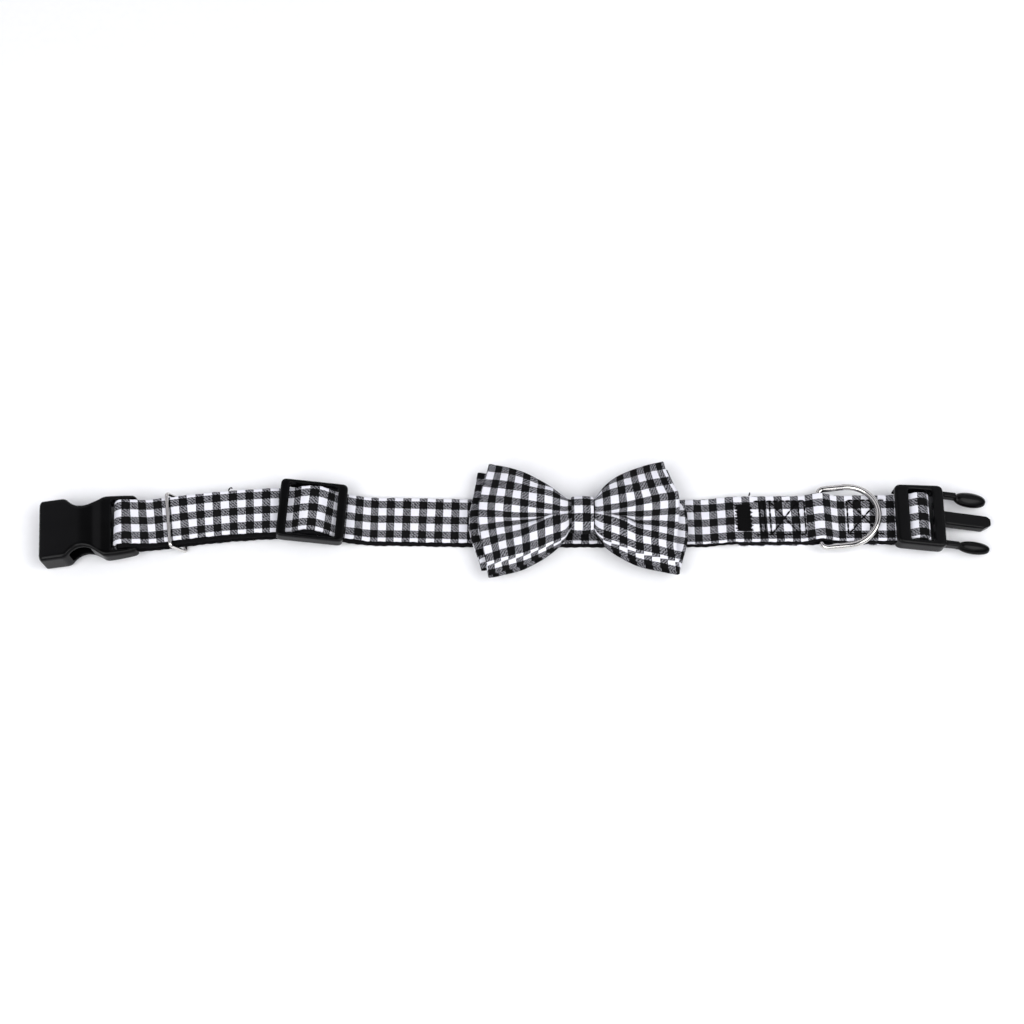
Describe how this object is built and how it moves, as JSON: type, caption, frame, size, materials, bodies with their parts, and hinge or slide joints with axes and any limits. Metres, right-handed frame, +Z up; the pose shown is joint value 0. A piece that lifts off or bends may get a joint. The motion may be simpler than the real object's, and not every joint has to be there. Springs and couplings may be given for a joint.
{
  "type": "pet bow tie collar",
  "caption": "Pet collar lying open: a gingham-faced webbing strap with side-release buckle, keeper ring, slider, D-ring and a layered bow tie.",
  "frame": {"origin": "on the surface that the collar lies on, under the middle of the strap", "axes": "+X along the strap from the buckle's socket to its prongs, +Y across the strap to its far side, +Z up"},
  "size_m": [0.3626, 0.044, 0.0137],
  "materials": {
    "webbing": "black woven webbing, matt",
    "gingham": "black and white woven check cotton, matt",
    "black_plastic": "black moulded plastic, satin",
    "steel": "nickel-plated steel wire, polished"
  },
  "bodies": {
    "collar": {"strap_webbing": "webbing", "strap_gingham_face": "gingham", "buckle_socket": "black_plastic", "slider": "black_plastic", "buckle_prongs": "black_plastic", "bow_back": "gingham", "bow_front": "gingham", "bow_band": "gingham"},
    "keeper": {"keeper_ring": "steel"},
    "ring": {"d_ring": "steel"}
  },
  "joints": [
    {"name": "d_ring_swing", "type": "hinge", "parent": "collar", "child": "ring", "pos_m": [0.116, 0.0002, 0.0039], "axis": [0.0135, -0.9999, 0], "range_deg": [0, 160]},
    {"name": "keeper_slide", "type": "slide", "parent": "collar", "child": "keeper", "axis": [0.9901, 0.1404, 0], "range_m": [-0.005, 0.016]}
  ]
}
